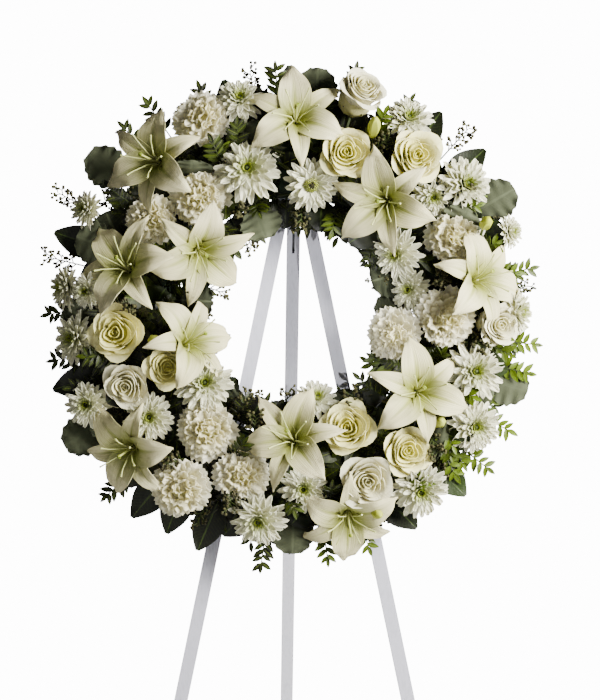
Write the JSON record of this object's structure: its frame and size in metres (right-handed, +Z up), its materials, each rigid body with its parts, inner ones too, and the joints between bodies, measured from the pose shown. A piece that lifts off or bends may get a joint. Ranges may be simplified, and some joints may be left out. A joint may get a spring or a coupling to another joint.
{
  "type": "funeral wreath",
  "caption": "Ring of white lilies, cream roses, carnations and chrysanthemums with mixed greenery, hung on a white folding three-legged easel.",
  "frame": {"origin": "on the floor, under the middle of the bounding box", "axes": "+Z up, -Y towards the viewer (the face of the wreath), +X to the viewer's right"},
  "size_m": [0.612, 0.6142, 1.4173],
  "materials": {
    "lily_petals": "soft, waxy, slightly translucent",
    "rose_petals": "soft, velvety",
    "carnation_petals": "matt, crinkled",
    "chrysanthemum_petals": "soft, satin",
    "leaves": "satin to glossy",
    "floral_foam": "porous, matt",
    "tray_plastic": "satin",
    "white_painted_wood": "white paint, satin",
    "steel": "zinc plated"
  },
  "bodies": {
    "front_frame": {"lily_upper_left": "lily_petals", "lily_top": "lily_petals", "lily_left": "lily_petals", "lily_inner_left": "lily_petals", "lily_inner_low_left": "lily_petals", "lily_lower_left": "lily_petals", "lily_bottom": "lily_petals", "lily_low_right": "lily_petals", "lily_right_inner": "lily_petals", "lily_right": "lily_petals", "lily_upper_right": "lily_petals", "rose_top": "rose_petals", "rose_upper_right_1": "rose_petals", "rose_upper_right_2": "rose_petals", "rose_left_1": "rose_petals", "rose_left_2": "rose_petals", "rose_left_3": "rose_petals", "rose_bottom_1": "rose_petals", "rose_bottom_2": "rose_petals", "rose_bottom_3": "rose_petals", "rose_right": "rose_petals", "carnation_top": "carnation_petals", "carnation_upper_left_1": "carnation_petals", "carnation_upper_left_2": "carnation_petals", "carnation_upper_right": "carnation_petals", "carnation_right": "carnation_petals", "carnation_inner_right": "carnation_petals", "carnation_low_left_1": "carnation_petals", "carnation_low_left_2": "carnation_petals", "carnation_bottom": "carnation_petals", "chrysanthemum_spray_top": "chrysanthemum_petals", "chrysanthemum_spray_upper_right": "chrysanthemum_petals", "chrysanthemum_spray_right": "chrysanthemum_petals", "chrysanthemum_spray_bottom": "chrysanthemum_petals", "chrysanthemum_spray_low_left": "chrysanthemum_petals", "chrysanthemum_spray_left": "chrysanthemum_petals", "chrysanthemum_spray_upper_left": "chrysanthemum_petals", "chrysanthemum_spray_inner_right": "chrysanthemum_petals", "chrysanthemum_spray_far_right": "chrysanthemum_petals", "outer_greenery_1": "leaves", "outer_greenery_2": "leaves", "outer_greenery_3": "leaves", "outer_greenery_4": "leaves", "outer_greenery_5": "leaves", "outer_greenery_6": "leaves", "inner_greenery_1": "leaves", "inner_greenery_2": "leaves", "inner_greenery_3": "leaves", "inner_greenery_4": "leaves", "foam_ring": "floral_foam", "ring_tray": "tray_plastic", "front_leg_left": "white_painted_wood", "front_leg_right": "white_painted_wood", "head_plate": "steel", "leg_screw_left": "steel", "leg_screw_right": "steel", "wire_tie_left": "steel", "wire_tie_right": "steel"},
    "back_leg": {"back_leg": "white_painted_wood", "hinge_pin": "steel"}
  },
  "joints": [
    {"name": "back_leg_fold", "type": "hinge", "parent": "front_frame", "child": "back_leg", "pos_m": [0.004, -0.05527, 1.24204], "axis": [-1, 0, 0], "range_deg": [0, 26]}
  ]
}
